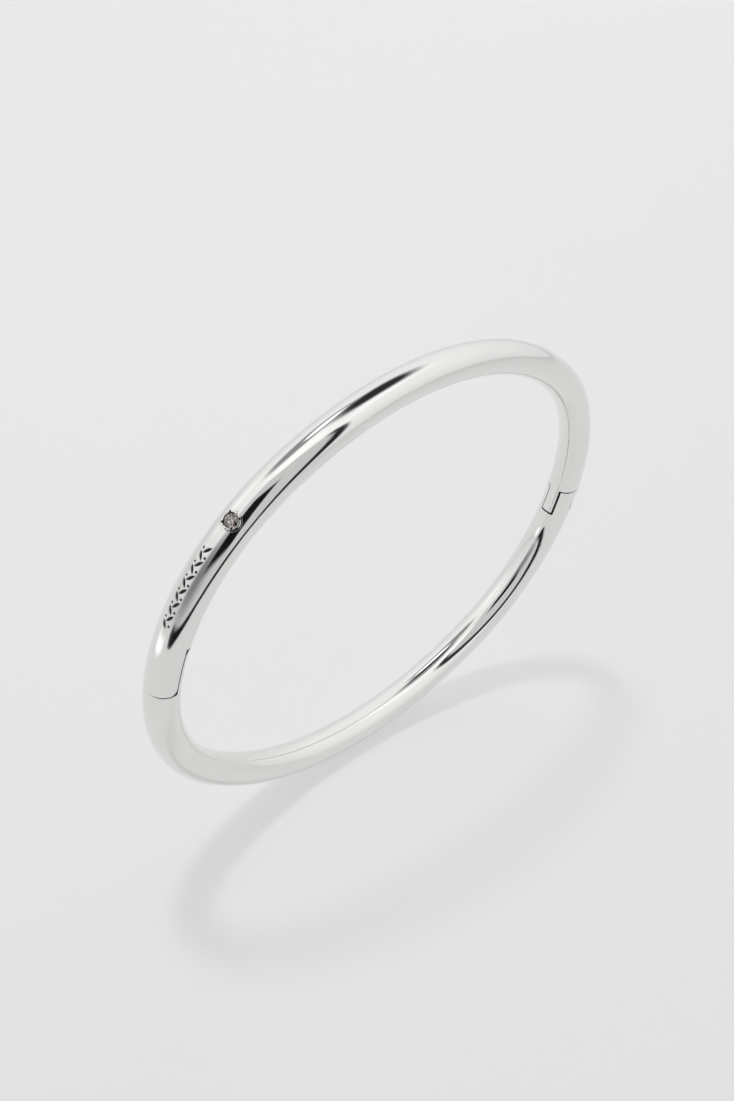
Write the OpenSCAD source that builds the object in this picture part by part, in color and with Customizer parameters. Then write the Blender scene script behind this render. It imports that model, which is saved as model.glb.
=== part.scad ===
// Oval hinged bangle of round polished tube, with a knuckle hinge, a lapped
// clasp with a hidden spring tongue, and one small stone let into the front.
//
// The ring stands upright. The origin is the middle of the wrist opening,
// +X runs from the clasp to the hinge, +Y runs through the opening and +Z is
// up, towards the middle of the front half. Everything is drawn flat, in the
// plane of the oval, and turned upright by stand_up().

/* [Oval] */
// Width of the wrist opening, clasp to hinge
opening_w = 58; // [56:0.5:64]
// Height of the wrist opening
opening_h = 48; // [46:0.5:52]

/* [Tube] */
// Outside diameter of the tube
tube_d = 3.7; // [3.5:0.1:4]
// Thickness of the tube's wall
wall = 0.45; // [0.4:0.05:0.6]
// How far each solid hinge block reaches, in degrees around the end bend
hinge_block_a = 14; // [12:1:20]
// How far each solid clasp block reaches, in degrees around the end bend
clasp_block_a = 24; // [24:1:28]
// How far a block's spigot reaches into its tube, in degrees
spigot_a = 6; // [4:1:8]

/* [Hinge] */
// Diameter of the hinge pin
pin_d = 1; // [0.8:0.1:1.1]
// How far the pin lies outside the middle of the tube
pin_out = 0.5; // [0.4:0.05:0.6]
// How far the pin lies below the middle of the oval
pin_drop = 0.3; // [0.1:0.1:0.4]
// Width of the knuckle between the two cheeks
knuckle_w = 1.36; // [1.2:0.02:1.5]
// Gap between the knuckle and the near cheek
near_gap = 0.22; // [0.1:0.01:0.25]
// Gap between the knuckle and the far cheek
far_gap = 0.08; // [0.05:0.01:0.15]
// Distance from the pin to the seam above it
seam_h = 2.25; // [2.2:0.05:2.5]
// Slope of the seam, which rises towards the outside
seam_tilt = 12; // [0:1:14]
// How far the knuckle reaches below the pin
knuckle_drop = 1.32; // [1.2:0.02:1.4]
// Gap at the seam of the hinge
hinge_gap = 0.13; // [0.1:0.01:0.2]
// Gap below the knuckle
drop_gap = 0.18; // [0.1:0.01:0.2]

/* [Clasp] */
// How far the lap lies inside the middle of the tube
lap_in = 0.45; // [0.4:0.05:0.5]
// How far the outer lip of the front half reaches down past the middle
outer_lip = 2.5; // [2:0.1:3]
// How far the inner lip of the back half reaches up past the middle
inner_lip = 3; // [2.5:0.1:3.2]
// Corner radius of both lips
lip_round = 0.7; // [0.3:0.05:0.8]
// Gap along the lap and at the ends of the lips
lap_gap = 0.15; // [0.08:0.01:0.16]
// Width of the spring tongue
tongue_w = 1.3; // [1.1:0.05:1.4]
// Thickness of the strip that the tongue is folded from
strip_t = 0.22; // [0.2:0.01:0.24]
// Height of the fold at the top of the tongue, above the middle
fold_z = 8; // [7.5:0.1:8.2]

/* [Stone] */
// Diameter of the stone across its girdle
stone_d = 1.5; // [1.4:0.05:1.7]
// Distance of the stone from the middle of the clasp, along the tube
stone_along = 16.1; // [14:0.1:17]
// Turn of the stone around the tube, away from the very outside
stone_turn = 9; // [0:1:12]
// Diameter of the solid seat that the stone is set in
seat_d = 2.2; // [2.2:0.05:2.5]

/* [Hidden] */
$fn = 96;

silver = "gainsboro";
inner_silver = "silver";

// The middle line of the tube is an oval of four arcs that meet smoothly.
tube_r = tube_d / 2;
bore_r = tube_r - wall;
oval_a = opening_w / 2 + tube_r;
oval_b = opening_h / 2 + tube_r;
// The centres of an end bend and a long bend and the middle of the oval make a
// triangle with sides of 3, 4 and 5.
end_c = 1.5 * (oval_a - oval_b);
side_c = end_c * 4 / 3;
end_bend_r = oval_a - end_c;
side_bend_r = oval_b + side_c;
meet = atan2(4, 3);
stone_a = stone_along / end_bend_r * 180 / PI;
overlap_a = 0.5;
solder_gap = 0.02;

// Hinge pin.
pin_x = oval_a + pin_out;
pin_y = -pin_drop;
pin_r = pin_d / 2;
running_gap = 0.03;
knuckle_r = tube_r - pin_out;

// The lap, the tongue and its socket are all struck from the hinge pin, so
// they part without rubbing. Each is a distance from the pin.
lap_r = pin_x + oval_a - lap_in;
lip_reach = 2.5;
leaf_r = lap_r - 1.04;
spring_r = leaf_r + 0.6;
bump_r = 0.11;
fold_mid_r = (leaf_r + spring_r + strip_t) / 2;
fold_r = fold_mid_r - leaf_r;
spring_top_z = fold_z - 0.3;
spring_low_z = inner_lip + 0.6;
tongue_root = 1.6;
socket_in_r = leaf_r - 0.1;
socket_out_r = spring_r + strip_t + bump_r + 0.05;
socket_w = tongue_w + 0.2;
socket_top_z = fold_z + fold_r + 0.25;

// Stone, in heights above the middle of the tube.
girdle_t = 0.05;
crown_h = 0.15 * stone_d;
pavilion_h = 0.43 * stone_d;
table_r = 0.28 * stone_d;
girdle_z = tube_r - crown_h - girdle_t;
seat_rim = 0.05;
seat_foot_z = 0.3;
bead_r = 0.16;
bead_out = stone_d / 2 + 0.08;

far = 40;

module stand_up() {
    rotate([90, 0, 0]) children();
}

// ---- Building blocks, in the plane of the oval ----

// A bend of rod or tube, centred at [cx, cy].
module bend(cx, cy, bend_r, from, to, outer, bore = 0) {
    translate([cx, cy, 0])
        rotate_extrude(angle = to - from, start = from)
            translate([bend_r, 0])
                difference() {
                    circle(outer);
                    if (bore > 0) circle(bore);
                }
}

// A bend around the hinge end, in degrees up from its middle.
module hinge_bend(from, to, outer, bore = 0) {
    bend(end_c, 0, end_bend_r, from, to, outer, bore);
}

// The same around the clasp end, which is the hinge end turned over.
module clasp_bend(from, to, outer, bore = 0) {
    rotate([0, 180, 0]) hinge_bend(from, to, outer, bore);
}

// The hollow tube of the upper half, between its two blocks.
module upper_tube() {
    hinge_bend(hinge_block_a, meet, tube_r, bore_r);
    bend(0, -side_c, side_bend_r, meet, 180 - meet, tube_r, bore_r);
    clasp_bend(clasp_block_a, meet, tube_r, bore_r);
}

// Everything in the ring, to cut things flush with the tube.
module hinge_rod() {
    hinge_bend(-hinge_block_a, hinge_block_a, tube_r);
}

// A strip struck from the hinge pin: distances from the pin, and heights
// at the clasp.
module struck_strip(r0, r1, z0, z1, w) {
    a0 = asin((z0 - pin_y) / r0);
    a1 = asin((z1 - pin_y) / r0);
    translate([pin_x, pin_y, 0])
        rotate_extrude(angle = a1 - a0, start = 180 - a1, $fn = 360)
            translate([r0, -w / 2])
                square([r1 - r0, w]);
}

// A round bar along the width of the tongue, at a distance from the pin.
module struck_bar(r, z, bar_r, w) {
    a = asin((z - pin_y) / r);
    translate([pin_x, pin_y, 0])
        rotate([0, 0, 180 - a])
            translate([r, 0, 0])
                cylinder(h = w, r = bar_r, center = true);
}

// ---- Hinge ----

// Where the cheeks are: under the sloping seam on the inside, and inside a
// round about the pin on the outside, which the front half turns around.
module under_seam(grow) {
    linear_extrude(far, center = true)
        translate([pin_x, pin_y])
            rotate(seam_tilt) {
                translate([-far / 2, -far / 2]) square([far / 2, far / 2 + seam_h + grow]);
                translate([-far / 2, -far / 2]) square([far, far / 2]);
                circle(seam_h + grow);
            }
}

// The side view of the knuckle: round about the pin, square on the inside.
module knuckle_side(grow) {
    translate([pin_x, pin_y]) {
        circle(knuckle_r + grow);
        translate([-far / 2, -knuckle_drop - grow]) square([far / 2, knuckle_drop + seam_h + 1]);
        square([far / 2, seam_h + 1]);
    }
}

module pin_hole(r) {
    translate([pin_x, pin_y, 0]) cylinder(h = far, r = r, center = true);
}

module front_hinge_knuckle() {
    color(silver) stand_up()
        difference() {
            union() {
                difference() {
                    hinge_rod();
                    under_seam(hinge_gap);
                }
                intersection() {
                    hinge_rod();
                    linear_extrude(knuckle_w, center = true) knuckle_side(0);
                }
                hinge_bend(hinge_block_a - overlap_a, hinge_block_a + spigot_a, bore_r - solder_gap);
            }
            pin_hole(pin_r + running_gap);
        }
}

module back_hinge_cheeks() {
    slot_w = knuckle_w + near_gap + far_gap;
    floor_y = pin_y - knuckle_drop - drop_gap;
    color(silver) stand_up()
        difference() {
            union() {
                intersection() {
                    hinge_rod();
                    under_seam(0);
                }
                hinge_bend(-hinge_block_a - spigot_a, -hinge_block_a + overlap_a, bore_r - solder_gap);
            }
            translate([pin_x - far / 2, floor_y, -knuckle_w / 2 - far_gap])
                cube([far, far, slot_w]);
            pin_hole(pin_r);
        }
}

module hinge_pin() {
    color(inner_silver) stand_up()
        intersection() {
            hinge_rod();
            translate([pin_x, pin_y, 0]) cylinder(h = tube_d, r = pin_r, center = true);
        }
}

// ---- Clasp ----

// Takes the square corner off a lip, at a point of the lap.
module round_lip(r, z, x_side, y_side) {
    a = asin((z - pin_y) / r);
    x = pin_x - r * cos(a);
    translate([x, z, 0])
        linear_extrude(far, center = true)
            difference() {
                translate([-x_side * lip_round / 2, -y_side * lip_round / 2])
                    square(lip_round + 0.02, center = true);
                translate([-x_side * lip_round, -y_side * lip_round]) circle(lip_round);
            }
}

module front_clasp_socket() {
    open_r = lap_r + lap_gap / 2;
    low_a = -asin(outer_lip / end_bend_r);
    color(silver) stand_up()
        difference() {
            union() {
                clasp_bend(low_a, clasp_block_a, tube_r);
                clasp_bend(clasp_block_a - overlap_a, clasp_block_a + spigot_a, bore_r - solder_gap);
            }
            // Room for the inner lip of the back half
            struck_strip(lap_r - lip_reach, open_r, -outer_lip - 4, inner_lip, far);
            round_lip(open_r, -outer_lip, 1, -1);
            // Socket for the tongue
            struck_strip(socket_in_r, socket_out_r, 0, socket_top_z, socket_w);
        }
}

module back_clasp_block() {
    color(silver) stand_up()
        difference() {
            union() {
                clasp_bend(-clasp_block_a, asin(inner_lip / end_bend_r), tube_r);
                clasp_bend(-clasp_block_a - spigot_a, -clasp_block_a + overlap_a, bore_r - solder_gap);
            }
            // Room for the outer lip of the front half
            struck_strip(lap_r - lap_gap / 2, lap_r + 4, -outer_lip - lap_gap, inner_lip + 4, far);
            round_lip(lap_r - lap_gap / 2, inner_lip, -1, 1);
            // Slot that the tongue is soldered into
            struck_strip(leaf_r, leaf_r + strip_t, inner_lip - tongue_root, inner_lip + 1, tongue_w);
        }
}

module clasp_tongue() {
    color(inner_silver) stand_up() {
        struck_strip(leaf_r, leaf_r + strip_t, inner_lip - tongue_root, fold_z, tongue_w);
        difference() {
            struck_bar(fold_mid_r, fold_z, fold_r, tongue_w);
            struck_bar(fold_mid_r, fold_z, fold_r - strip_t, tongue_w + 1);
            struck_strip(leaf_r + strip_t, spring_r + 2 * strip_t, fold_z - 2 * fold_r, fold_z, tongue_w + 1);
        }
    }
}

module clasp_spring_leaf() {
    color(inner_silver) stand_up() {
        struck_strip(spring_r, spring_r + strip_t, spring_low_z, spring_top_z, tongue_w);
        struck_bar(spring_r + strip_t / 2, spring_top_z, strip_t / 2, tongue_w);
        struck_bar(spring_r + strip_t, spring_low_z + 0.5, bump_r, tongue_w);
    }
}

// ---- Stone ----

// Turns +Z to point straight out of the tube where the stone is.
module at_stone() {
    stand_up()
        translate([-end_c, 0, 0])
            rotate([0, 0, 180 - stone_a])
                translate([end_bend_r, 0, 0])
                    rotate([0, -stone_turn, 0])
                        rotate([0, 90, 0])
                            children();
}

module brilliant(grow) {
    girdle_r = stone_d / 2 + grow;
    rotate_extrude()
        polygon([
            [0, girdle_z - pavilion_h - grow],
            [girdle_r, girdle_z],
            [girdle_r, girdle_z + girdle_t],
            [table_r + grow, girdle_z + girdle_t + crown_h],
            [0, girdle_z + girdle_t + crown_h]
        ]);
}

module seat_plug(r) {
    translate([0, 0, seat_foot_z]) cylinder(h = tube_d, r = r);
}

module front_tube() {
    color(silver)
        difference() {
            stand_up() upper_tube();
            at_stone() seat_plug(seat_d / 2);
        }
}

module back_tube() {
    color(silver) stand_up() rotate([180, 0, 0]) upper_tube();
}

module stone_seat() {
    color(silver)
        difference() {
            union() {
                intersection() {
                    at_stone() seat_plug(seat_d / 2);
                    stand_up() clasp_bend(clasp_block_a, meet, tube_r + seat_rim);
                }
                at_stone()
                    for (side = [-1, 1])
                        rotate([0, 0, 90 * side])
                            translate([bead_out, 0, girdle_z + girdle_t + bead_r / 2])
                                sphere(bead_r);
            }
            at_stone() {
                brilliant(0.01);
                translate([0, 0, girdle_z]) cylinder(h = tube_r, r = stone_d / 2 - 0.06);
                cylinder(h = girdle_z, r = stone_d / 5);
            }
        }
}

module stone() {
    color("whitesmoke") at_stone() brilliant(0);
}

back_tube();
back_hinge_cheeks();
hinge_pin();
back_clasp_block();
clasp_tongue();
clasp_spring_leaf();
front_tube();
front_hinge_knuckle();
front_clasp_socket();
stone_seat();
stone();
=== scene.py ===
"""An oval hinged bangle of polished tube, dressed in Blender around its CAD frame."""
import math

import bmesh
import bpy
import numpy as np
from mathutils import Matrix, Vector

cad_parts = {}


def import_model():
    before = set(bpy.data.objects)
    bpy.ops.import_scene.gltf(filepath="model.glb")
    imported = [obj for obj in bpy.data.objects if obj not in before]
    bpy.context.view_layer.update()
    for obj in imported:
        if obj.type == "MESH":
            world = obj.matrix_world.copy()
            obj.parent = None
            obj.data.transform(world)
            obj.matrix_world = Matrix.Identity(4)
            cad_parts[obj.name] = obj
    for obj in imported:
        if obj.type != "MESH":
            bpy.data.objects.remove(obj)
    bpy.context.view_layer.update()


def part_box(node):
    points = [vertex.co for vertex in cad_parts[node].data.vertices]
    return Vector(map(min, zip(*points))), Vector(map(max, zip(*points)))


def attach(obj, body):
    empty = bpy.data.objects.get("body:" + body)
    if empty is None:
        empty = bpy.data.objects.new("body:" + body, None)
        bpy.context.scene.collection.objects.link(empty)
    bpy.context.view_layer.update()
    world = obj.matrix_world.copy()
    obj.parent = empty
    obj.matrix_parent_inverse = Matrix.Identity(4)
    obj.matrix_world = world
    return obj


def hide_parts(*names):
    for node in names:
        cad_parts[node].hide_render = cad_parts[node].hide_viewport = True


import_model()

import openvdb as vdb
from mathutils import Matrix, Quaternion, Vector

# Everything below is worked out in millimetres and turned into metres at the end.
MM = 0.001

# ---- Driving dimensions, the same as in the CAD model ----

TUBE_R = 1.85
END_C = 7.5
END_R = 23.35
SIDE_C = 10.0
SIDE_R = 35.85
MEET = math.atan2(4, 3)
END_LENGTH = END_R * MEET
SIDE_LENGTH = SIDE_R * (math.pi - 2 * MEET)
HALF_LENGTH = 2 * END_LENGTH + SIDE_LENGTH

PIN = Vector((31.35, 0, -0.3))
HINGE_BLOCK = math.radians(14)
CLASP_BLOCK = math.radians(24)
KNUCKLE_R = 1.35
KNUCKLE_HALF = 0.68
KNUCKLE_DROP = 1.32
NEAR_GAP = 0.22
FAR_GAP = 0.08
HINGE_GAP = 0.13
DROP_GAP = 0.18
SEAM_H = 2.25
SEAM_TILT = math.radians(12)
PIN_R = 0.5
PIN_PLAY = 0.03
PIN_HOLE_ROUND = 0.06
PIN_END_ROUND = 0.09
SLOT_CORNER = 0.12

LAP_R = 61.75
LAP_GAP = 0.15
LIP_ROUND = 0.7
OUTER_LIP = 2.5
INNER_LIP = 3.0
EDGE = 0.05

# The socket for the clasp's tongue, which lies on an arc round the hinge pin.
SOCKET_R = 61.15
SOCKET_HALF = 0.54
SOCKET_HALF_WIDTH = 0.75
SOCKET_TOP = 8.5

STONE_R = 0.75
STONE_ALONG = 16.1
STONE_TURN = math.radians(9)
SEAT_R = 1.1
GIRDLE_T = 0.05
CROWN_H = 0.3 * STONE_R
PAVILION_H = 0.86 * STONE_R
GIRDLE_W = TUBE_R - CROWN_H - GIRDLE_T
TABLE_R = 0.56 * STONE_R
STAR_R = 0.78 * STONE_R
STAR_W = GIRDLE_W + GIRDLE_T + 0.56 * CROWN_H
MAIN_R = 0.24 * STONE_R
MAIN_W = GIRDLE_W - 0.77 * PAVILION_H

# The seat: a low rim, four pointed cuts and two grains round the stone.
RIM_R = 0.86
RIM_WIDE = 0.1
RIM_HIGH = 0.035
CUT_AT = 0.74
CUT_HALF = 0.24
CUT_WIDE = 0.12
SEAT_FOOT = 0.3
GRAIN_AT = 0.86
GRAIN_W = 1.73
GRAIN_R = 0.19


# ---- Signed distances ----
# Each takes points as an array whose last axis is x, y, z, and is negative inside.

def both(a, b, r=0.0):
    """What two shapes share, with the edge between them rounded to radius r."""
    if r <= 0:
        return np.maximum(a, b)
    return np.minimum(-r, np.maximum(a, b)) + np.hypot(np.maximum(a + r, 0), np.maximum(b + r, 0))


def from_middle_line(p):
    """Distance in the plane of the oval from the tube's middle line, outwards positive."""
    x, z = np.abs(p[..., 0]), np.abs(p[..., 2])
    in_end = 3 * (z + SIDE_C) < 4 * x
    return np.where(in_end, np.hypot(x - END_C, z) - END_R, np.hypot(x, z + SIDE_C) - SIDE_R)


def rod(p):
    """The whole ring of tube."""
    return np.hypot(from_middle_line(p), p[..., 1]) - TUBE_R


def above(p, side, angle):
    """Height above a plane through the middle of an end bend: side 1 is the hinge, -1 the clasp."""
    return p[..., 2] * math.cos(angle) - (side * p[..., 0] - END_C) * math.sin(angle)


def around_pin(p):
    """Place in the plane of the oval, from the hinge pin."""
    return p[..., 0] - PIN.x, p[..., 2] - PIN.z


def above_from_pin(p, z, r):
    """Height above the line from the hinge pin to height z, at distance r from the pin."""
    angle = math.asin((z - PIN.z) / r)
    u, v = around_pin(p)
    return v * math.cos(angle) + u * math.sin(angle)


def under_seam(p, grow):
    """Below the hinge seam, which is level inside the pin and curves down outside it."""
    u, v = around_pin(p)
    c, s = math.cos(SEAM_TILT), math.sin(SEAM_TILT)
    u, v = u * c + v * s, v * c - u * s
    r = SEAM_H + grow
    return np.where(u < 0, v - r, np.minimum(np.hypot(u, v) - r, v))


def knuckle_side(p):
    """Outline of the knuckle seen along the pin."""
    u, v = around_pin(p)
    low = np.where(u < 0, -KNUCKLE_DROP - v, np.hypot(u, v) - KNUCKLE_R)
    return np.where(v < 0, low, v - SEAM_H - 1)


def pin_bore(p, r):
    """A cylinder of radius r round the line of the pin."""
    u, v = around_pin(p)
    return np.hypot(u, v) - r


def hinge_knuckle(p):
    """End block of the front half, with the tongue that turns on the pin."""
    top = both(rod(p), -under_seam(p, HINGE_GAP), EDGE)
    tongue = both(both(rod(p), knuckle_side(p), EDGE), np.abs(p[..., 1]) - KNUCKLE_HALF, EDGE)
    return both(np.minimum(top, tongue), -pin_bore(p, PIN_R + PIN_PLAY))


def hinge_cheeks(p):
    """End block of the back half, with a cheek on each side of the knuckle."""
    body = both(rod(p), under_seam(p, 0), EDGE)
    slot_middle = (FAR_GAP - NEAR_GAP) / 2
    slot_half = KNUCKLE_HALF + (FAR_GAP + NEAR_GAP) / 2
    floor = PIN.z - KNUCKLE_DROP - DROP_GAP
    slot = both(np.abs(p[..., 1] - slot_middle) - slot_half, floor - p[..., 2], SLOT_CORNER)
    return both(both(body, -slot, EDGE), -pin_bore(p, PIN_R), PIN_HOLE_ROUND)


def hinge_pin(p):
    """The pin, filed flush with the tube and softened at its ends."""
    return both(rod(p) + 0.01, pin_bore(p, PIN_R - 0.015), PIN_END_ROUND)


def from_pin(p):
    """Distance from the line of the hinge pin."""
    u, v = around_pin(p)
    return np.hypot(u, v)


def clasp_socket(p):
    """End block of the front half, with the outer lip and the socket."""
    lap = LAP_R + LAP_GAP / 2 - from_pin(p)
    lip = both(lap, -above(p, -1, -math.asin(OUTER_LIP / END_R)), LIP_ROUND)
    ceiling = math.asin((INNER_LIP + LAP_GAP) / END_R)
    side = np.minimum(lip, -above(p, -1, ceiling))
    block = both(rod(p) + engraving(p), side, EDGE)
    walls = np.abs(from_pin(p) - SOCKET_R) - SOCKET_HALF
    socket = both(walls, np.abs(p[..., 1]) - SOCKET_HALF_WIDTH, EDGE)
    socket = both(socket, p[..., 2] - SOCKET_TOP)
    return both(block, -socket, 0.03)


def clasp_block(p):
    """End block of the back half, with the inner lip."""
    lap = from_pin(p) - LAP_R + LAP_GAP / 2
    lip = both(lap, above(p, -1, math.asin(INNER_LIP / END_R)), LIP_ROUND)
    side = np.minimum(lip, above_from_pin(p, -OUTER_LIP - LAP_GAP, LAP_R))
    return both(rod(p), side, EDGE)


# ---- Places along the tube ----

def along(s, z_side=1):
    """Middle line and outward direction at distance s from the clasp, over the top or under."""
    s = np.asarray(s, float)
    near = s < END_LENGTH
    far = s > END_LENGTH + SIDE_LENGTH
    angle_near = s / END_R
    angle_side = MEET + (s - END_LENGTH) / SIDE_R
    angle_far = math.pi - (HALF_LENGTH - s) / END_R
    angle = np.where(near, angle_near, np.where(far, angle_far, angle_side))
    out = np.stack([-np.cos(angle), 0 * s, z_side * np.sin(angle)], -1)
    centre = np.stack([np.where(near, -END_C, np.where(far, END_C, 0)), 0 * s,
                       np.where(near | far, 0, -SIDE_C * z_side)], -1)
    bend = np.where(near | far, END_R, SIDE_R)
    return centre + out * bend[..., None], out


def place_on_clasp_bend(p):
    """Distance along the clasp bend, and angle around the tube from its outside towards the viewer."""
    x, z = -p[..., 0] - END_C, p[..., 2]
    return END_R * np.arctan2(z, x), np.arctan2(-p[..., 1], np.hypot(x, z) - END_R)


# ---- Engraved ornament: a running line of small leaves ----

ENGRAVING_FROM = 4.9
ENGRAVING_TURN = math.radians(2)
LEAVES = 12
LEAF_PITCH = (CLASP_BLOCK * END_R - ENGRAVING_FROM) / 7
LEAF_HALF = 0.5
LEAF_WIDE = 0.15
LEAF_LEAN = math.radians(38)
LEAF_ASIDE = 0.16
BERRY_ASIDE = 0.38
BERRY_R = 0.12
ENGRAVING_DEPTH = 0.1


def leaf(u, v, half, wide):
    """Outline of a leaf with two pointed ends, lying along u."""
    bend = (half * half + wide * wide) / (2 * wide)
    return np.maximum(np.hypot(u, v - (bend - wide)), np.hypot(u, v + (bend - wide))) - bend


def ornament(u, v):
    """Distance in the flat to the ornament, where u runs along it from its start."""
    nearest = np.full(u.shape, 9.0)
    for i in range(LEAVES):
        middle = (i + 0.5) * LEAF_PITCH
        side = 1 if i % 2 else -1
        c, d = math.cos(LEAF_LEAN), math.sin(LEAF_LEAN) * side
        a, b = u - middle, v - side * LEAF_ASIDE
        a, b = a * c + b * d, b * c - a * d
        nearest = np.minimum(nearest, leaf(a, b, LEAF_HALF, LEAF_WIDE))
        berry = np.hypot(u - middle, v + side * BERRY_ASIDE) - BERRY_R
        nearest = np.minimum(nearest, berry)
    return nearest


def engraving(p):
    """Depth of the engraving at each point."""
    s, turn = place_on_clasp_bend(p)
    u, v = s - ENGRAVING_FROM, (turn - ENGRAVING_TURN) * TUBE_R
    depth = np.zeros(u.shape)
    there = (np.abs(v) < 0.9) & (u > -0.3) & (u < LEAVES * LEAF_PITCH + 0.3)
    inside = -ornament(u[there], v[there])
    depth[there] = ENGRAVING_DEPTH * np.clip(inside / 0.06 + 0.25, 0, 1) ** 0.8
    return depth


# ---- Meshes ----

BLOCK_VOXEL = 0.05
SEAT_VOXEL = 0.025
PIN_VOXEL = 0.04


def gradient(shape, p, step=0.004):
    """Slope of a signed distance."""
    parts = []
    for i in range(3):
        move = np.zeros(3)
        move[i] = step
        parts.append(shape(p + move) - shape(p - move))
    return np.stack(parts, -1) / (2 * step)


def on_surface(shape, p, steps=4):
    """Moves points straight to the nearest surface."""
    for _ in range(steps):
        g = gradient(shape, p)
        size = np.maximum((g * g).sum(-1), 0.2)
        p = p - g * (np.clip(shape(p), -0.03, 0.03) / size)[:, None]
    return p


def surface_of(shape, low, high, voxel):
    """Covers the surface of a signed distance with small faces, and lays their corners on it."""
    axes = [np.arange(a - 2 * voxel, b + 3 * voxel, voxel) for a, b in zip(low, high)]
    field = np.empty([len(a) for a in axes], np.float32)
    slab = np.stack(np.meshgrid([0.0], axes[1], axes[2], indexing="ij"), -1)[0]
    for i, x in enumerate(axes[0]):
        slab[..., 0] = x
        field[i] = shape(slab)
    grid = vdb.FloatGrid(9.0)
    grid.copyFromArray(field)
    points, triangles, quads = grid.convertToPolygons(0.0, 0.0)
    start = np.array([a[0] for a in axes])
    points = on_surface(shape, points * voxel + start)
    faces = [tuple(f) for f in triangles.tolist()] + [tuple(f) for f in quads.tolist()]
    return points, faces


def mesh_object(name, points, faces, shape, cuts=()):
    """Makes a mesh, cuts it off square at planes, and gives it the surface's own normals."""
    work = bmesh.new()
    corners = [work.verts.new(p) for p in points]
    for f in faces:
        work.faces.new([corners[i] for i in f])
    caps = []
    for where, outward in cuts:
        parts = work.verts[:] + work.edges[:] + work.faces[:]
        done = bmesh.ops.bisect_plane(
            work, geom=parts, plane_co=where, plane_no=outward, clear_outer=True)
        rim = [e for e in done["geom_cut"] if isinstance(e, bmesh.types.BMEdge)]
        caps += bmesh.ops.contextual_create(work, geom=rim)["faces"]
    bmesh.ops.recalc_face_normals(work, faces=work.faces[:])
    for f in work.faces:
        f.smooth = True
    for f in caps:
        f.smooth = False
    mesh = bpy.data.meshes.new(name)
    work.to_mesh(mesh)
    work.free()
    if shape is not None:
        set_normals(mesh, shape)
    mesh.transform(Matrix.Scale(MM, 4))
    piece = bpy.data.objects.new(name, mesh)
    bpy.context.scene.collection.objects.link(piece)
    return piece


def set_normals(mesh, shape):
    """Gives a mesh the exact normals of its surface, but for its flat ends."""
    count = len(mesh.vertices)
    points = np.empty(count * 3, np.float32)
    mesh.vertices.foreach_get("co", points)
    normals = gradient(shape, points.reshape(-1, 3).astype(float))
    normals /= np.maximum(np.linalg.norm(normals, axis=1), 1e-9)[:, None]
    loops = np.empty(len(mesh.loops), np.int32)
    mesh.loops.foreach_get("vertex_index", loops)
    at_loops = normals[loops]
    for polygon in mesh.polygons:
        if not polygon.use_smooth:
            at_loops[polygon.loop_start:polygon.loop_start + polygon.loop_total] = polygon.normal
    mesh.normals_split_custom_set(at_loops)


def node_box(node):
    """Box of a CAD node, in millimetres."""
    low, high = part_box(node)
    return np.array(low) / MM, np.array(high) / MM


def block(name, node, shape, side, angle, voxel, body):
    """A solid end block, cut off square where it is soldered to its tube."""
    low, high = node_box(node)
    past = angle + math.copysign(0.01, angle)
    sign = math.copysign(1, angle)
    whole = lambda p: both(shape(p), sign * above(p, side, past))
    points, faces = surface_of(whole, low - 0.1, high + 0.1, voxel)
    where = Vector((side * END_C, 0, 0))
    outward = Vector((-side * math.sin(angle), 0, math.cos(angle))) * sign
    piece = mesh_object(name, points, faces, shape, [(where, outward)])
    return dress(piece, node, body)


def dress(piece, node, body):
    """Puts a piece on its body, in place of its CAD node."""
    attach(piece, body)
    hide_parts(node)
    return piece


# ---- Tubes ----

def spaced(start, end, step):
    """Even places from start up to, and without, the end."""
    return np.linspace(start, end, max(2, round((end - start) / step) + 1))[:-1]


def tube_points(s, turn, z_side):
    """Points on the plain tube, at distances along it and angles round it."""
    middle, out = along(s, z_side)
    near = np.array([0.0, -1.0, 0.0])
    way = out * np.cos(turn)[..., None] + near * np.sin(turn)[..., None]
    return middle + way * TUBE_R


def plain_tube(name, node, z_side, body):
    """The tube of one half, closed at its solder joints."""
    stations = np.linspace(CLASP_BLOCK * END_R, HALF_LENGTH - HINGE_BLOCK * END_R, 181)
    turns = np.radians(np.arange(0, 360, 3.75))
    s, turn = np.meshgrid(stations, turns, indexing="ij")
    points = tube_points(s, turn, z_side).reshape(-1, 3)
    rows, columns = s.shape
    faces = []
    for i in range(rows - 1):
        here, next_row = i * columns, (i + 1) * columns
        for j in range(columns):
            k = (j + 1) % columns
            faces.append((here + j, here + k, next_row + k, next_row + j))
    faces.append(tuple(range(columns)))
    faces.append(tuple((rows - 1) * columns + j for j in range(columns)))
    piece = mesh_object(name, points, faces, rod)
    return dress(piece, node, body)


# ---- Stone and its seat ----

STONE_MIDDLE, STONE_OUT = (Vector(v.tolist()) for v in along(STONE_ALONG))
NEAR = Vector((0, -1, 0))
ALONG = NEAR.cross(STONE_OUT).normalized()
if ALONG.z < 0:
    ALONG = -ALONG
AXIS = STONE_OUT * math.cos(STONE_TURN) + NEAR * math.sin(STONE_TURN)
ACROSS = NEAR * math.cos(STONE_TURN) - STONE_OUT * math.sin(STONE_TURN)


def at_stone(p):
    """Coordinates along the tube, across it and out of it, from its middle under the stone."""
    q = p - np.array(STONE_MIDDLE)
    return q @ np.array(ALONG), q @ np.array(ACROSS), q @ np.array(AXIS)


def swell(p):
    """Height of the low rim that the setting tool leaves round the stone."""
    u, v, w = at_stone(p)
    ring = (np.hypot(u, v) - RIM_R) / RIM_WIDE
    return np.where(w > 0, RIM_HIGH * np.exp(-ring * ring), 0)


def front_skin(p):
    """Surface of the front half, engraved and swollen round the stone."""
    return rod(p) + engraving(p) - swell(p)


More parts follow.
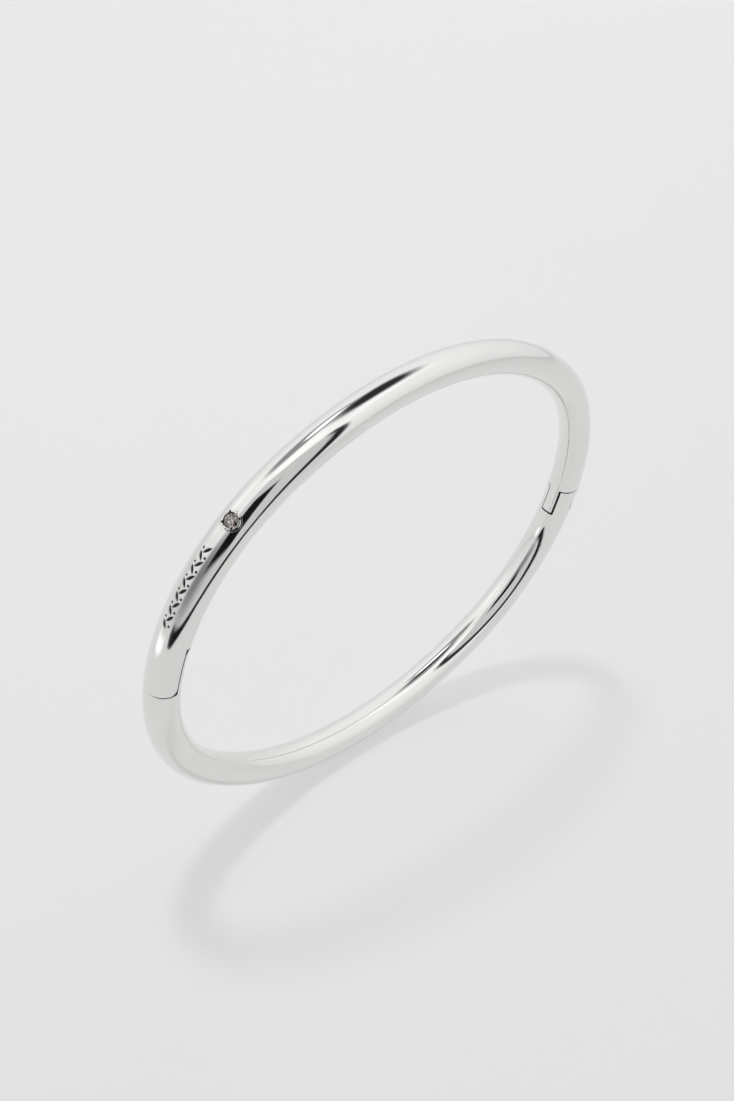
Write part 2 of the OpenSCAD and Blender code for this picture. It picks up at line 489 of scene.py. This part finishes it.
def nicks(u, v):
    """Distance in the flat to the four pointed cuts at the corners of the setting."""
    nearest = np.full(u.shape, 9.0)
    for i in range(4):
        a = math.radians(45 + 90 * i)
        outwards = u * math.cos(a) + v * math.sin(a) - CUT_AT
        aside = v * math.cos(a) - u * math.sin(a)
        nearest = np.minimum(nearest, leaf(outwards, aside, CUT_HALF, CUT_WIDE))
    return nearest


def stone_seat(p):
    """Seat plug with the recess, the corner cuts and two grains that hold the stone."""
    u, v, w = at_stone(p)
    out = np.hypot(u, v)
    body = both(both(rod(p) - swell(p), out - SEAT_R + 0.005, 0.015), SEAT_FOOT - w)
    cup = both(out - STONE_R - 0.02, GIRDLE_W - 0.02 - w)
    cone = both((out - STONE_R * (w - GIRDLE_W + PAVILION_H) / PAVILION_H) * 0.65 - 0.02, w - GIRDLE_W)
    body = both(both(body, -cup, 0.03), -cone)
    body = both(body, -both(nicks(u, v), GIRDLE_W + 0.02 - w), 0.02)
    for side in (-1, 1):
        grain = np.sqrt((u - side * GRAIN_AT) ** 2 + (v * 0.7) ** 2 + (w - GRAIN_W) ** 2) - GRAIN_R
        body = np.minimum(body, grain)
    return body


def seat_piece():
    """The seat plug."""
    low, high = node_box("stone_seat")
    points, faces = surface_of(stone_seat, low - 0.1, high + 0.1, SEAT_VOXEL)
    piece = mesh_object("stone_seat_skin", points, faces, stone_seat)
    return dress(piece, "stone_seat", "front_half")


def ring_of(radius, w, count, turn=0.0):
    """Corners of the stone, evenly round its axis at height w."""
    angles = [2 * math.pi * (i + turn) / count for i in range(count)]
    centre = STONE_MIDDLE + AXIS * w
    return [centre + ALONG * radius * math.cos(a) + ACROSS * radius * math.sin(a) for a in angles]


# How dark the painted reflections on the stone's facets are.
LOWER_PAINTED_SHADE = 0.3
TABLE_PHASE = 0.4
CROWN_PHASE = 2.0


def facet_painted_reflection(middle):
    """Upper facets are painted dark and bright by turns, a painted reflection of the setting and the
    room that they show; lower facets get one even painted shade.
    """
    u, v, w = (float(x) for x in at_stone(np.array(middle)))
    if w < GIRDLE_W + GIRDLE_T:
        return LOWER_PAINTED_SHADE
    phase = TABLE_PHASE if math.hypot(u, v) < STONE_R * 0.5 else CROWN_PHASE
    return 0.5 + 0.5 * math.tanh(3 * math.cos(math.atan2(v, u) * 3 + phase))


def stone_piece():
    """A round brilliant: table, star, kite and girdle facets above, mains and lower facets below."""
    table_w = GIRDLE_W + GIRDLE_T + CROWN_H
    table = ring_of(TABLE_R, table_w, 8)
    stars = ring_of(STAR_R, STAR_W, 8, 0.5)
    upper = ring_of(STONE_R, GIRDLE_W + GIRDLE_T, 16)
    lower = ring_of(STONE_R, GIRDLE_W, 16)
    mains = ring_of(MAIN_R, MAIN_W, 8, 0.5)
    points = table + stars + upper + lower + mains
    points += [STONE_MIDDLE + AXIS * (GIRDLE_W - PAVILION_H), STONE_MIDDLE + AXIS * table_w]
    # Where each row of corners starts.
    star0, upper0, lower0, main0, tip, middle = 8, 16, 32, 48, 56, 57
    faces = []
    # The table is a fan of eight flat triangles, so that each can carry its own painted reflection.
    for k in range(8):
        n, g, h = (k + 1) % 8, 2 * k, (2 * k + 2) % 16
        before = (k - 1) % 8
        faces.append((middle, k, n))
        faces.append((k, star0 + k, n))
        faces.append((k, star0 + before, upper0 + g, star0 + k))
        faces.append((star0 + k, upper0 + g, upper0 + g + 1))
        faces.append((star0 + k, upper0 + g + 1, upper0 + h))
        faces.append((main0 + k, lower0 + g + 1, lower0 + g))
        faces.append((main0 + k, lower0 + h, lower0 + g + 1))
        faces.append((tip, main0 + k, lower0 + g, main0 + before))
    for k in range(16):
        faces.append((upper0 + k, lower0 + k, lower0 + (k + 1) % 16, upper0 + (k + 1) % 16))
    piece = mesh_object("brilliant_stone", points, faces, None)
    # Each facet stores how dark its painted reflection is.
    depth = piece.data.attributes.new("shade", "FLOAT", "FACE")
    for polygon in piece.data.polygons:
        polygon.use_smooth = False
        depth.data[polygon.index].value = facet_painted_reflection(polygon.center / MM)
    return dress(piece, "stone", "front_half")


# ---- Front tube: a grid over the tube, with a pocket for the seat ----

# The gap in the grid reaches this far from the stone, both ways.
PATCH = 1.6
POCKET_W = 0.28
ENGRAVED_TO = 13.6
ENGRAVED_ROWS = 0.04
PLAIN_ROWS = 0.15
STONE_ROWS = 0.08
FAR_ROWS = 0.45
STONE_COLUMNS = math.radians(1.25)
PLAIN_COLUMNS = math.radians(3.75)


def skin_point(s, turn):
    """A point of the front tube's skin: engraved, and swollen round the stone."""
    p = tube_points(s, turn, 1)
    middle, out = along(s)
    way = (p - middle) / TUBE_R
    return p + way * (swell(p) - engraving(p))[..., None]


def front_tube():
    """The front tube, with fine rows where it is engraved and round the stone."""
    start, stop = CLASP_BLOCK * END_R, HALF_LENGTH - HINGE_BLOCK * END_R
    before, after = STONE_ALONG - PATCH, STONE_ALONG + PATCH
    lines = np.concatenate([
        spaced(start, ENGRAVED_TO, ENGRAVED_ROWS),
        spaced(ENGRAVED_TO, before, PLAIN_ROWS),
        spaced(before, after, STONE_ROWS),
        spaced(after, stop, FAR_ROWS),
        [stop],
    ])
    half = PATCH / TUBE_R
    turns = np.concatenate([
        spaced(STONE_TURN - half, STONE_TURN + half, STONE_COLUMNS),
        spaced(STONE_TURN + half, STONE_TURN - half + 2 * math.pi, PLAIN_COLUMNS),
    ])
    s, turn = np.meshgrid(lines, turns, indexing="ij")
    rows, columns = s.shape
    points = [tuple(p) for p in skin_point(s, turn).reshape(-1, 3)]
    i0 = int(np.argmin(np.abs(lines - before)))
    i1 = int(np.argmin(np.abs(lines - after)))
    j1 = int(np.argmin(np.abs(turns - (STONE_TURN + half))))
    at = lambda i, j: i * columns + j % columns
    faces = []
    for i in range(rows - 1):
        for j in range(columns):
            if not (i0 <= i < i1 and j < j1):
                faces.append((at(i, j), at(i, j + 1), at(i + 1, j + 1), at(i + 1, j)))
    gap = [at(i, 0) for i in range(i0, i1)]
    gap += [at(i1, j) for j in range(j1)]
    gap += [at(i, j1) for i in range(i1, i0, -1)]
    gap += [at(i0, j) for j in range(j1, 0, -1)]
    add_pocket(points, faces, gap)
    faces.append(tuple(range(columns)))
    faces.append(tuple(at(rows - 1, j) for j in range(columns)))
    piece = mesh_object("front_tube_skin", points, faces, front_skin)
    return dress(piece, "front_tube", "front_half")


def add_pocket(points, faces, outline):
    """Joins the square gap in the grid to the round pocket that the seat stands in."""
    edge = np.array([points[i] for i in outline])
    u, v, _ = at_stone(edge)
    angle = np.arctan2(v, u)
    rim_u, rim_v = SEAT_R * np.cos(angle), SEAT_R * np.sin(angle)
    steps = 10
    last = outline
    for k in range(1, steps + 1):
        t = k / steps
        uu, vv = u + (rim_u - u) * t, v + (rim_v - v) * t
        first = len(points)
        points += [tuple(p) for p in over_stone(uu, vv)]
        last = join_rings(faces, last, first)
    w_rim = at_stone(np.array([points[i] for i in last]))[2]
    for depth in (0.4, 1.0):
        first = len(points)
        w = w_rim * (1 - depth) + POCKET_W * depth
        for a, b, c in zip(rim_u, rim_v, w):
            points.append(tuple(STONE_MIDDLE + ALONG * a + ACROSS * b + AXIS * c))
        last = join_rings(faces, last, first)
    faces.append(tuple(last))


def join_rings(faces, last, first):
    """A band of faces from one closed row of points to the next."""
    count = len(last)
    ring = list(range(first, first + count))
    for i in range(count):
        n = (i + 1) % count
        faces.append((last[i], last[n], ring[n], ring[i]))
    return ring


def over_stone(u, v):
    """Points of the skin that lie straight out from the given places round the stone."""
    lengthwise, crosswise, outwards = (np.array(a) for a in (ALONG, ACROSS, AXIS))
    foot = np.array(STONE_MIDDLE) + u[:, None] * lengthwise + v[:, None] * crosswise
    w = np.sqrt(np.maximum(TUBE_R ** 2 - v * v, 0.1))
    for _ in range(8):
        p = foot + w[:, None] * outwards
        slope = gradient(front_skin, p) @ outwards
        w = w - front_skin(p) / np.maximum(slope, 0.2)
    return foot + w[:, None] * outwards


# ---- Materials ----
# Noise scales are in waves per metre, and bump distances in metres.

SILVER_DIM = (0.81, 0.804, 0.79, 1)
SILVER_BRIGHT = (0.845, 0.84, 0.828, 1)
# Black for the engraving's fill and the setting's cuts, and for painted shade in the joints, round the
# pin end and under the stone.
BLACK_FILL_AND_PAINTED_SHADE = (0.035, 0.032, 0.03, 1)
SATIN_DIM = (0.62, 0.61, 0.59, 1)
SATIN_BRIGHT = (0.8, 0.79, 0.77, 1)
STONE_SMOKY = (0.88, 0.83, 0.78, 1)
STONE_CLEAR = (0.97, 0.95, 0.93, 1)
# Dark tint for the painted reflections in the stone's facets.
STONE_PAINTED_DARK_REFLECTION = (0.12, 0.08, 0.06, 1)
STONE_IOR = 2.3
PAPER = (0.765, 0.765, 0.765, 1)


def new_material(name):
    """A material, its node tree and its shader."""
    m = bpy.data.materials.new(name)
    m.use_nodes = True
    return m, m.node_tree, m.node_tree.nodes["Principled BSDF"]


def noise(tree, scale, detail=3.0, stretch=None):
    """Noise that stays with the piece as it moves."""
    where = tree.nodes.new("ShaderNodeTexCoord")
    n = tree.nodes.new("ShaderNodeTexNoise")
    n.inputs["Scale"].default_value = scale
    n.inputs["Detail"].default_value = detail
    source = where.outputs["Object"]
    if stretch:
        squeeze = tree.nodes.new("ShaderNodeMapping")
        squeeze.inputs["Scale"].default_value = stretch
        tree.links.new(source, squeeze.inputs["Vector"])
        source = squeeze.outputs[0]
    tree.links.new(source, n.inputs["Vector"])
    return n.outputs["Fac"]


def spread(tree, value, low, high, from_low=0.3, from_high=0.7):
    """Spreads the middle of a noise over a range."""
    r = tree.nodes.new("ShaderNodeMapRange")
    r.inputs["From Min"].default_value = from_low
    r.inputs["From Max"].default_value = from_high
    r.inputs["To Min"].default_value = low
    r.inputs["To Max"].default_value = high
    tree.links.new(value, r.inputs["Value"])
    return r.outputs["Result"]


def mixed(tree, factor, a, b):
    """Mixes two colours."""
    m = tree.nodes.new("ShaderNodeMix")
    m.data_type = "RGBA"
    tree.links.new(factor, m.inputs["Factor"])
    for socket, value in ((m.inputs[6], a), (m.inputs[7], b)):
        if isinstance(value, tuple):
            socket.default_value = value
        else:
            tree.links.new(value, socket)
    return m.outputs[2]


def polished_silver():
    """Mirror silver with faint buffing marks, hazy patches, a black recess in the engraving, black in
    the setting's cuts, and painted shade in the joints, round the pin end and under the stone.
    """
    m, tree, shader = new_material("polished_silver")
    shader.inputs["Metallic"].default_value = 1
    # One attribute holds the black of the engraving and the cuts, together with the painted shade in
    # the joints, round the pin end and under the stone.
    recess = tree.nodes.new("ShaderNodeAttribute")
    recess.attribute_name = "blackened"
    tone = mixed(tree, noise(tree, 260), SILVER_DIM, SILVER_BRIGHT)
    blackened = mixed(tree, recess.outputs["Fac"], tone, BLACK_FILL_AND_PAINTED_SHADE)
    tree.links.new(blackened, shader.inputs["Base Color"])
    haze = spread(tree, noise(tree, 420, 5), 0.028, 0.06)
    marks = spread(tree, noise(tree, 5200, 2, (1, 9, 1)), 0.0, 0.025)
    rough = tree.nodes.new("ShaderNodeMath")
    rough.operation = "ADD"
    tree.links.new(haze, rough.inputs[0])
    tree.links.new(marks, rough.inputs[1])
    dull = tree.nodes.new("ShaderNodeMath")
    dull.operation = "MULTIPLY_ADD"
    dull.inputs[1].default_value = 0.45
    tree.links.new(recess.outputs["Fac"], dull.inputs[0])
    tree.links.new(rough.outputs[0], dull.inputs[2])
    tree.links.new(dull.outputs[0], shader.inputs["Roughness"])
    wave = tree.nodes.new("ShaderNodeBump")
    wave.inputs["Strength"].default_value = 0.05
    wave.inputs["Distance"].default_value = 0.0002
    tree.links.new(noise(tree, 330, 1), wave.inputs["Height"])
    tree.links.new(wave.outputs[0], shader.inputs["Normal"])
    return m


def spring_silver():
    """Rolled strip with a satin grain along its length."""
    m, tree, shader = new_material("spring_silver")
    shader.inputs["Metallic"].default_value = 1
    grain = noise(tree, 2600, 4, (1, 14, 1))
    tone = mixed(tree, grain, SATIN_DIM, SATIN_BRIGHT)
    tree.links.new(tone, shader.inputs["Base Color"])
    tree.links.new(spread(tree, grain, 0.22, 0.38), shader.inputs["Roughness"])
    bump = tree.nodes.new("ShaderNodeBump")
    bump.inputs["Strength"].default_value = 0.25
    bump.inputs["Distance"].default_value = 0.00002
    tree.links.new(grain, bump.inputs["Height"])
    tree.links.new(bump.outputs[0], shader.inputs["Normal"])
    return m


def clear_stone():
    """Clear stone with a faint smoky tint that varies through it, and facets tinted darker by turns as
    a painted reflection.
    """
    m, tree, shader = new_material("clear_stone")
    shader.inputs["Transmission Weight"].default_value = 1
    shader.inputs["IOR"].default_value = STONE_IOR
    shader.inputs["Roughness"].default_value = 0.0
    tint = mixed(tree, noise(tree, 900), STONE_SMOKY, STONE_CLEAR)
    # The facets' painted reflection darkens the tint.
    facet = tree.nodes.new("ShaderNodeAttribute")
    facet.attribute_name = "shade"
    painted_facets = mixed(tree, facet.outputs["Fac"], tint, STONE_PAINTED_DARK_REFLECTION)
    tree.links.new(painted_facets, shader.inputs["Base Color"])
    return m


def blacken(piece, amount):
    """Marks how dark each corner of a mesh is, from 0, bright, to 1, black."""
    points = np.empty(len(piece.data.vertices) * 3, np.float32)
    piece.data.vertices.foreach_get("co", points)
    values = amount(points.reshape(-1, 3).astype(float) / MM)
    layer = piece.data.attributes.new("blackened", "FLOAT", "POINT")
    layer.data.foreach_set("value", values.astype(np.float32))


def seat_black_and_painted_shade(p):
    """Black in the cuts at the corners of the setting and, less so, painted shade under the stone."""
    u, v, w = at_stone(p)
    out = np.hypot(u, v)
    cut = np.clip(0.5 - nicks(u, v) / 0.04, 0, 1) * (out > STONE_R - 0.05)
    # Painted shade under the stone, where the seat lies below the girdle.
    under = 0.8 * (out < STONE_R) * np.clip((GIRDLE_W - w) / 0.05, 0, 1)
    return np.maximum(cut * np.clip((TUBE_R - 0.02 - w) / 0.06, 0, 1), under)


def joint_painted_shade(p):
    """Painted shade in the joints: dark just below the surface, lighter deeper down."""
    depth = -rod(p)
    rim = np.clip((depth - 0.04) / 0.06, 0, 1) * np.clip((0.7 - depth) / 0.3, 0, 1)
    return 0.9 * rim


def pin_painted_shade(p):
    """A faint line of painted shade round the end of the hinge pin."""
    return 0.6 * np.clip(1.2 - np.abs(pin_bore(p, PIN_R)) / 0.06, 0, 1)


def make_pieces():
    """Every piece, with its materials."""
    socket = block("clasp_socket_skin", "front_clasp_socket", clasp_socket,
                   -1, CLASP_BLOCK, BLOCK_VOXEL, "front_half")
    tube = front_tube()
    seat = seat_piece()
    clasp = block("clasp_block_skin", "back_clasp_block", clasp_block,
                  -1, -CLASP_BLOCK, BLOCK_VOXEL, "back_half")
    knuckle = block("hinge_knuckle_skin", "front_hinge_knuckle", hinge_knuckle,
                    1, HINGE_BLOCK, BLOCK_VOXEL, "front_half")
    cheeks = block("hinge_cheeks_skin", "back_hinge_cheeks", hinge_cheeks,
                   1, -HINGE_BLOCK, BLOCK_VOXEL, "back_half")
    silver = polished_silver()
    back = plain_tube("back_tube_skin", "back_tube", -1, "back_half")
    pin = pin_piece()
    for piece in (socket, tube, seat, clasp, knuckle, cheeks, back, pin):
        piece.data.materials.append(silver)
    # The black is real fill in the engraving and the setting's cuts, and painted shade in the joints,
    # round the pin end and under the stone.
    blacken(socket, lambda p: np.maximum(engraving(p) / ENGRAVING_DEPTH, joint_painted_shade(p)))
    blacken(clasp, joint_painted_shade)
    blacken(knuckle, joint_painted_shade)
    blacken(cheeks, lambda p: np.maximum(joint_painted_shade(p), pin_painted_shade(p)))
    blacken(pin, pin_painted_shade)
    blacken(tube, lambda p: engraving(p) / ENGRAVING_DEPTH)
    blacken(seat, seat_black_and_painted_shade)
    stone_piece().data.materials.append(clear_stone())
    strip = spring_silver()
    for name in ("clasp_tongue", "clasp_spring_leaf"):
        dress_cad(name, strip)


def pin_piece():
    """The hinge pin."""
    low, high = node_box("hinge_pin")
    points, faces = surface_of(hinge_pin, low - 0.1, high + 0.1, PIN_VOXEL)
    piece = mesh_object("hinge_pin_rivet", points, faces, hinge_pin)
    return dress(piece, "hinge_pin", "back_half")


def dress_cad(name, material):
    """Gives a CAD node that stays a material."""
    obj = bpy.data.objects[name]
    obj.data.materials.clear()
    obj.data.materials.append(material)


make_pieces()

# ---- Stage ----

# The bangle balances tipped in its own plane, so the floor and the camera lean in its frame.
TIP = math.radians(5.08)
LENS = 47.85
CAMERA_AT = Vector((-106.75, -71.65, 91.96))
CAMERA_AIM = Vector((-4.82, 0, 4.345))
CAMERA_ROLL = math.radians(16.91)


def camera():
    """The camera looks down at the bangle from the clasp's side."""
    data = bpy.data.cameras.new("camera")
    data.lens = LENS
    data.sensor_width = 36
    data.clip_start = 0.001
    cam = bpy.data.objects.new("camera", data)
    level = (CAMERA_AIM - CAMERA_AT).to_track_quat("-Z", "Y")
    turn = level @ Quaternion((0, 0, 1), CAMERA_ROLL)
    cam.matrix_world = Matrix.LocRotScale(CAMERA_AT * MM, turn, None)
    bpy.context.scene.collection.objects.link(cam)
    bpy.context.scene.camera = cam


UP = Vector((-math.sin(TIP), 0, math.cos(TIP)))
FLOOR_AT = Vector((0, 0, SIDE_C)) - UP * (SIDE_R + TUBE_R)


def staged_mesh(name, corners, faces, uvs):
    """A mesh that belongs to the stage, with a place on the card for each corner."""
    mesh = bpy.data.meshes.new(name)
    mesh.from_pydata([c * MM for c in corners], [], faces)
    layer = mesh.uv_layers.new(name="card")
    for loop in mesh.loops:
        layer.data[loop.index].uv = uvs[loop.vertex_index]
    obj = bpy.data.objects.new(name, mesh)
    bpy.context.scene.collection.objects.link(obj)
    return obj


def plane_object(name, at, across, upward, width, height):
    """A flat rectangle that belongs to the stage."""
    corners, uvs = [], ((0, 0), (1, 0), (1, 1), (0, 1))
    for a, b in uvs:
        corners.append(at + across * width * (a - 0.5) + upward * height * (b - 0.5))
    return staged_mesh(name, corners, [(0, 1, 2, 3)], uvs)


def floor():
    """Pale paper under the bangle, which leans by TIP in its own plane."""
    across = Vector((math.cos(TIP), 0, math.sin(TIP)))
    obj = plane_object("floor", FLOOR_AT, across, Vector((0, 1, 0)), 6000, 6000)
    paper, _, shader = new_material("paper")
    shader.inputs["Base Color"].default_value = PAPER
    shader.inputs["Roughness"].default_value = 0.9
    shader.inputs["Specular IOR Level"].default_value = 0.1
    obj.data.materials.append(paper)


def toward(azimuth, elevation):
    """Direction, with the azimuth measured from +Y towards +X."""
    a, e = math.radians(azimuth), math.radians(elevation)
    return Vector((math.sin(a) * math.cos(e), math.cos(a) * math.cos(e), math.sin(e)))


def card(name, seen_from, azimuth, elevation, distance, width, height, level, soft, shape="square"):
    """A card that shows in reflections and in the stone, facing the place that reflects it."""
    way = toward(azimuth, elevation)
    across = way.cross(Vector((0, 0, 1))).normalized()
    obj = plane_object(name, seen_from + way * distance, across, across.cross(way), width, height)
    glow(obj, level, soft, shape)


def glow(obj, level, soft, shape="square"):
    """Gives a card one brightness, fading out towards its border, and hides it from plain view."""
    obj.visible_camera = obj.visible_diffuse = obj.visible_shadow = False
    m = bpy.data.materials.new(obj.name)
    m.use_nodes = True
    tree = m.node_tree
    tree.nodes.clear()
    place = tree.nodes.new("ShaderNodeTexCoord")
    centred = tree.nodes.new("ShaderNodeVectorMath")
    centred.operation = "SUBTRACT"
    centred.inputs[1].default_value = (0.5, 0.5, 0)
    tree.links.new(place.outputs["UV"], centred.inputs[0])
    if shape == "round":
        size = tree.nodes.new("ShaderNodeVectorMath")
        size.operation = "LENGTH"
        tree.links.new(centred.outputs[0], size.inputs[0])
        mask = fade(tree, size.outputs["Value"], soft)
    else:
        sides = tree.nodes.new("ShaderNodeSeparateXYZ")
        tree.links.new(centred.outputs[0], sides.inputs[0])
        masks = []
        for axis in ("X", "Y"):
            size = tree.nodes.new("ShaderNodeMath")
            size.operation = "ABSOLUTE"
            tree.links.new(sides.outputs[axis], size.inputs[0])
            masks.append(fade(tree, size.outputs[0], soft))
        product = tree.nodes.new("ShaderNodeMath")
        product.operation = "MULTIPLY"
        for mask, socket in zip(masks, product.inputs):
            tree.links.new(mask, socket)
        mask = product.outputs[0]
    light = tree.nodes.new("ShaderNodeEmission")
    light.inputs["Strength"].default_value = level
    clear = tree.nodes.new("ShaderNodeBsdfTransparent")
    mix = tree.nodes.new("ShaderNodeMixShader")
    out = tree.nodes.new("ShaderNodeOutputMaterial")
    tree.links.new(mask, mix.inputs[0])
    tree.links.new(clear.outputs[0], mix.inputs[1])
    tree.links.new(light.outputs[0], mix.inputs[2])
    tree.links.new(mix.outputs[0], out.inputs[0])
    obj.data.materials.append(m)


def fade(tree, value, soft):
    """One in the middle of a card, falling smoothly to nothing at its border."""
    ramp = tree.nodes.new("ShaderNodeMapRange")
    ramp.interpolation_type = "SMOOTHSTEP"
    ramp.inputs["From Min"].default_value = 0.5
    ramp.inputs["From Max"].default_value = 0.5 - soft / 2
    tree.links.new(value, ramp.inputs["Value"])
    return ramp.outputs["Result"]


DARK_CLOTH = 0.008
TENT_TOWARD = math.radians(-140)
TENT_WAY = Vector((math.sin(TENT_TOWARD), math.cos(TENT_TOWARD), 0))
TENT_ACROSS = Vector((-TENT_WAY.y, TENT_WAY.x, 0))


def on_tent(across, height, distance):
    """A place on the side of the light tent that the camera looks in through."""
    return TENT_WAY * distance + TENT_ACROSS * across + Vector((0, 0, height))


def tent_panel(name, across, height, width, tall, distance, level, soft):
    """An upright card on the camera's side of the tent."""
    middle = on_tent(across, height, distance)
    obj = plane_object(name, middle, TENT_ACROSS, Vector((0, 0, 1)), width, tall)
    glow(obj, level, soft)


def tent_band(name, stops, distance, level, soft):
    """A dark hem that follows a smooth line; each stop is a place across, a height and a width."""
    line = [Vector(stop) for stop in stops]
    ends = [line[0] * 2 - line[1]] + line + [line[-1] * 2 - line[-2]]
    samples = []
    for i in range(len(line) - 1):
        a, b, c, d = ends[i:i + 4]
        for k in range(12):
            t = k / 12
            samples.append(0.5 * (2 * b + (c - a) * t + (2 * a - 5 * b + 4 * c - d) * t ** 2
                                  + (3 * b - a - 3 * c + d) * t ** 3))
    samples.append(line[-1])
    corners, faces, uvs = [], [], []
    for i, here in enumerate(samples):
        step = samples[min(i + 1, len(samples) - 1)] - samples[max(i - 1, 0)]
        side = Vector((-step.y, step.x)).normalized() * here.z / 2
        for sign in (-1, 1):
            corners.append(on_tent(here.x + side.x * sign, here.y + side.y * sign, distance))
            uvs.append((0.5 * i / (len(samples) - 1) + 0.25, 0.5 + 0.5 * sign))
    for i in range(len(samples) - 1):
        faces.append((2 * i, 2 * i + 1, 2 * i + 3, 2 * i + 2))
    glow(staged_mesh(name, corners, faces, uvs), level, soft)


# Across, height and width of the hem, at places along it.
HEM = (
    (45, 184, 34),
    (74, 143, 44),
    (86, 90, 50),
    (84, 40, 52),
    (66, -4, 46),
    (20, -18, 24),
    (-20, -24, 18),
    (-52, -28, 30),
    (-74, -22, 18),
)


def tent_opening():
    """The opening of the light tent: its hem, the room beyond and the camera that looks in."""
    tent_panel("room", 0, 82, 200, 220, 92, 0.66, 0.25)
    tent_panel("room_shade", -62, 22, 130, 120, 91.5, 0.24, 0.9)
    tent_band("hem", HEM, 91, DARK_CLOTH, 0.7)
    tent_panel("camera_body", -19.5, 40, 35, 56, 60, DARK_CLOTH, 0.3)


# ---- Light ----
# Places and sizes are in millimetres. The lamps don't show in the polish: the cards do.

SKY_LOW = 0.8
SKY_HIGH = 0.98
PAPER_LIGHT = 0.44
OVERHEAD_LIGHT = 0.4
KEY_AT = Vector((-55, 117, 306))
KEY_WIDE = 48
KEY_WATTS = 0.155
FILL_AT = Vector((330, 300, 330))
FILL_AIM = Vector((260, 240, 0))
FILL_WIDE = 500
FILL_WATTS = 0.45


def area_lamp(name, at, aim, wide, watts):
    """An area lamp that points at a place."""
    data = bpy.data.lights.new(name, "AREA")
    data.size = wide * MM
    data.energy = watts
    lamp = bpy.data.objects.new(name, data)
    lamp.location = at * MM
    lamp.rotation_mode = "QUATERNION"
    lamp.rotation_quaternion = (aim - at).to_track_quat("-Z", "Y")
    lamp.visible_glossy = False
    bpy.context.scene.collection.objects.link(lamp)
    return data


def key_light():
    """Small round lamp behind the bangle, which throws the soft shadow."""
    area_lamp("key", KEY_AT, FLOOR_AT, KEY_WIDE, KEY_WATTS).shape = "DISK"


def world():
    """White all round, with a dimmer light on the floor that overhead() makes up for."""
    w = bpy.data.worlds.new("world")
    bpy.context.scene.world = w
    w.use_nodes = True
    tree = w.node_tree
    path = tree.nodes.new("ShaderNodeLightPath")
    way = tree.nodes.new("ShaderNodeTexCoord")
    height = tree.nodes.new("ShaderNodeSeparateXYZ")
    tree.links.new(way.outputs["Generated"], height.inputs[0])
    sky = tree.nodes.new("ShaderNodeMapRange")
    sky.inputs["From Max"].default_value = 0.6
    sky.inputs["To Min"].default_value = SKY_LOW
    sky.inputs["To Max"].default_value = SKY_HIGH
    tree.links.new(height.outputs["Z"], sky.inputs["Value"])
    level = tree.nodes.new("ShaderNodeMapRange")
    tree.links.new(sky.outputs["Result"], level.inputs["To Min"])
    level.inputs["To Max"].default_value = PAPER_LIGHT
    tree.links.new(path.outputs["Is Diffuse Ray"], level.inputs["Value"])
    tree.links.new(level.outputs["Result"], tree.nodes["Background"].inputs["Strength"])
    tree.nodes["Background"].inputs["Color"].default_value = (1, 1, 1, 1)


def overhead():
    """Even light on the floor without a shadow, for the light that the polished tube throws back."""
    data = bpy.data.lights.new("overhead", "SUN")
    data.energy = math.pi * OVERHEAD_LIGHT
    data.use_shadow = False
    lamp = bpy.data.objects.new("overhead", data)
    lamp.visible_glossy = False
    bpy.context.scene.collection.objects.link(lamp)


def far_fill():
    """Broad light over the far floor, which falls off towards the camera."""
    area_lamp("far_fill", FILL_AT, FILL_AIM, FILL_WIDE, FILL_WATTS).use_shadow = False


# Places on the bangle that the cards face.
FRONT = Vector((-24, 0, 18))
TOP = Vector((-8, 0, 32))
CLASP = Vector((-33, 0, 3))

camera()
floor()
world()
overhead()
key_light()
far_fill()
tent_opening()
# Each card has its name, the place that it faces, azimuth and elevation in degrees,
# distance, width, height, brightness and softness.
card("ceiling", TOP, 52, 75, 60, 70, 66, 0.03, 0.6, shape="round")
card("softbox_left", FRONT, -110, 72, 500, 700, 420, 1.2, 0.9)
card("softbox_right", FRONT, 130, 65, 500, 700, 300, 1.16, 0.9)
card("window", FRONT, -35, 28, 800, 700, 560, 1.1, 0.9)
card("lamp_surround", TOP, -20, 60, 400, 360, 300, 0.3, 0.5, shape="round")
card("lamp", TOP, -8, 63, 380, 140, 120, 1.5, 0.3, shape="round")
card("bounce_left", CLASP, -65, -28, 52, 56, 15, 1.3, 0.8)
bpy.context.scene.view_settings.view_transform = "Standard"
